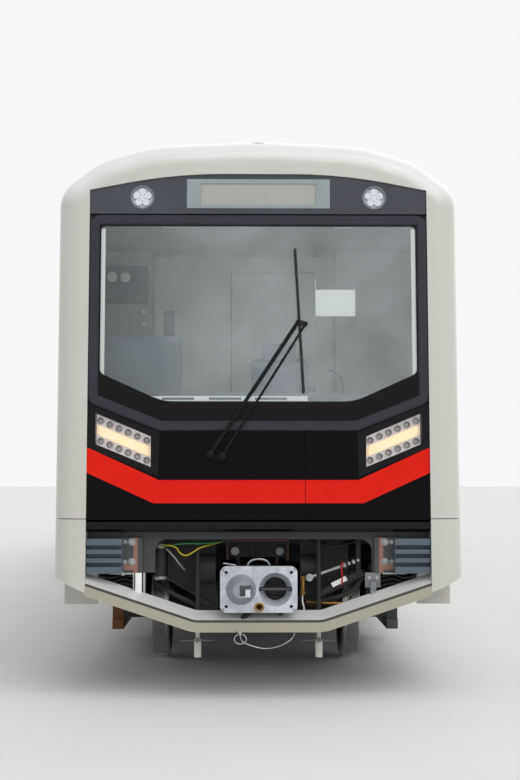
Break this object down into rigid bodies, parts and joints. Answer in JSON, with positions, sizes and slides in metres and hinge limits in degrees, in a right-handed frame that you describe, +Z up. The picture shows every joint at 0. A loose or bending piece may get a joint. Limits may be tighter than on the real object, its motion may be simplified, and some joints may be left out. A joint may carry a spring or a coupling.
{
  "type": "metro car",
  "caption": "Leading car of a metro train with a raked black-masked nose, driver's cab, passenger saloon, swinging coupler and motor bogies on flanged wheels.",
  "frame": {"origin": "centre of the car's length and width, on the level that the wheel flanges reach, 28 mm below the rail's top", "axes": "the nose looks along -Y, +X is to the right of someone facing the nose, and +Z is up"},
  "size_m": [2.8046, 19.5, 3.7745],
  "materials": {
    "body_paint": "satin grey-white paint",
    "black_gloss": "black gloss panel with a red band",
    "rib_plastic": "moulded dark grey",
    "clear_glass": "clear laminated glass",
    "tinted_glass": "tinted glass",
    "lamp_housing": "dark lamp housing",
    "lamp_light": "warm white emitters",
    "lamp_lens": "clear lens",
    "roof_lamp": "white lamp dish",
    "matrix": "pale matrix",
    "apron_paint": "beige-grey paint",
    "headstock_paint": "dark grey paint with copper primer edges",
    "anticlimber_paint": "blue-grey paint",
    "coupler_metal": "silver-grey machined steel",
    "dark_steel": "black chassis paint",
    "gear_black": "black fittings",
    "wheel_steel": "rolled steel, bright tread",
    "rubber_black": "black rubber",
    "collector_wood": "brown laminated beam",
    "motor_grey": "cast housing",
    "roof_grey": "grey roof equipment",
    "floor_grey": "grey floor and frame",
    "console_blue": "blue-grey moulded console",
    "cable_steel": "bright wire cable",
    "cabinet_green": "grey-green cabinets",
    "lining_white": "pale lining",
    "seat_red": "red seat covers",
    "driver_fabric": "dark seat fabric",
    "rail_yellow": "yellow grab rails",
    "wiper_black": "black wiper",
    "bellows_black": "black bellows"
  },
  "bodies": {
    "root": {"underframe": "floor_grey", "side_wall_left": "body_paint", "side_wall_right": "body_paint", "roof": "body_paint", "roof_units": "roof_grey", "rear_end": "body_paint", "gangway": "bellows_black", "rear_coupler": "dark_steel", "front_fairing": "body_paint", "lower_corners": "body_paint", "upper_panel": "black_gloss", "destination_display": "black_gloss", "display_matrix": "matrix", "roof_lamps": "roof_lamp", "mask_mouldings": "rib_plastic", "windscreen": "clear_glass", "lower_panels": "black_gloss", "headlamps": "lamp_housing", "headlamp_lights": "lamp_light", "headlamp_lenses": "lamp_lens", "apron": "apron_paint", "release_cable": "cable_steel", "headstock": "headstock_paint", "anticlimbers": "anticlimber_paint", "draft_gear": "dark_steel", "front_gear": "gear_black", "passenger_doors": "body_paint", "side_glazing": "tinted_glass", "skirts": "body_paint", "underfloor_cases": "dark_steel", "side_cameras": "gear_black", "cab_bulkhead": "lining_white", "ceiling": "lining_white", "seats": "seat_red", "grab_rails": "rail_yellow", "console": "console_blue", "cab_cabinets": "cabinet_green", "driver_seat": "driver_fabric"},
    "coupler": {"coupler_head": "coupler_metal", "coupler_bar": "coupler_metal"},
    "cab_door_left": {"cab_door_left": "body_paint", "cab_glass_left": "tinted_glass"},
    "cab_door_right": {"cab_door_right": "body_paint", "cab_glass_right": "tinted_glass"},
    "bulkhead_door": {"bulkhead_door": "lining_white"},
    "wiper_arm": {"wiper_arm": "wiper_black"},
    "wiper_link": {"wiper_link": "wiper_black"},
    "wiper_blade": {"wiper_blade": "rubber_black"},
    "bogie_front": {"bogie_frame_front": "dark_steel", "springs_front": "rubber_black", "motors_front": "motor_grey", "collectors_front": "collector_wood"},
    "bogie_rear": {"bogie_frame_rear": "dark_steel", "springs_rear": "rubber_black", "motors_rear": "motor_grey", "collectors_rear": "collector_wood"},
    "wheelset_1": {"wheelset_1": "wheel_steel"},
    "wheelset_2": {"wheelset_2": "wheel_steel"},
    "wheelset_3": {"wheelset_3": "wheel_steel"},
    "wheelset_4": {"wheelset_4": "wheel_steel"}
  },
  "joints": [
    {"name": "coupler_swing", "type": "hinge", "parent": "root", "child": "coupler", "pos_m": [0, -8.8, 0.728], "axis": [0, 0, 1], "range_deg": [-15, 15]},
    {"name": "cab_door_left_hinge", "type": "hinge", "parent": "root", "child": "cab_door_left", "pos_m": [-1.282, -7.825, 1.528], "axis": [0, 0, 1], "range_deg": [0, 80]},
    {"name": "cab_door_right_hinge", "type": "hinge", "parent": "root", "child": "cab_door_right", "pos_m": [1.282, -7.825, 1.528], "axis": [0, 0, -1], "range_deg": [0, 80]},
    {"name": "bulkhead_door_hinge", "type": "hinge", "parent": "root", "child": "bulkhead_door", "pos_m": [0.503, -7.292, 2.128], "axis": [0, 0, -1], "range_deg": [0, 90]},
    {"name": "wiper_sweep", "type": "hinge", "parent": "root", "child": "wiper_arm", "pos_m": [-0.323, -9.56923, 1.61106], "axis": [0, -0.9981, 0.061], "range_deg": [-10, 60]},
    {"name": "wiper_link_sweep", "type": "hinge", "parent": "root", "child": "wiper_link", "pos_m": [-0.244, -9.57002, 1.59808], "axis": [0, -0.9981, 0.061], "range_deg": [-10, 60]},
    {"name": "wiper_blade_pivot", "type": "hinge", "parent": "wiper_arm", "child": "wiper_blade", "pos_m": [0.266, -9.51453, 2.50539], "axis": [0, -0.9981, 0.061], "range_deg": [-60, 10]},
    {"name": "bogie_front_yaw", "type": "hinge", "parent": "root", "child": "bogie_front", "pos_m": [0, -6.3, 0.528], "axis": [0, 0, 1], "range_deg": [-4, 4]},
    {"name": "bogie_rear_yaw", "type": "hinge", "parent": "root", "child": "bogie_rear", "pos_m": [0, 6.3, 0.528], "axis": [0, 0, 1], "range_deg": [-4, 4]},
    {"name": "wheelset_1_spin", "type": "hinge", "parent": "bogie_front", "child": "wheelset_1", "pos_m": [0, -7.4, 0.458], "axis": [1, 0, 0], "continuous": true},
    {"name": "wheelset_2_spin", "type": "hinge", "parent": "bogie_front", "child": "wheelset_2", "pos_m": [0, -5.2, 0.458], "axis": [1, 0, 0], "continuous": true},
    {"name": "wheelset_3_spin", "type": "hinge", "parent": "bogie_rear", "child": "wheelset_3", "pos_m": [0, 5.2, 0.458], "axis": [1, 0, 0], "continuous": true},
    {"name": "wheelset_4_spin", "type": "hinge", "parent": "bogie_rear", "child": "wheelset_4", "pos_m": [0, 7.4, 0.458], "axis": [1, 0, 0], "continuous": true}
  ],
  "couplings": [
    {"joint": "wiper_link_sweep", "follows": "wiper_sweep", "ratio": 1},
    {"joint": "wiper_blade_pivot", "follows": "wiper_sweep", "ratio": -1}
  ]
}
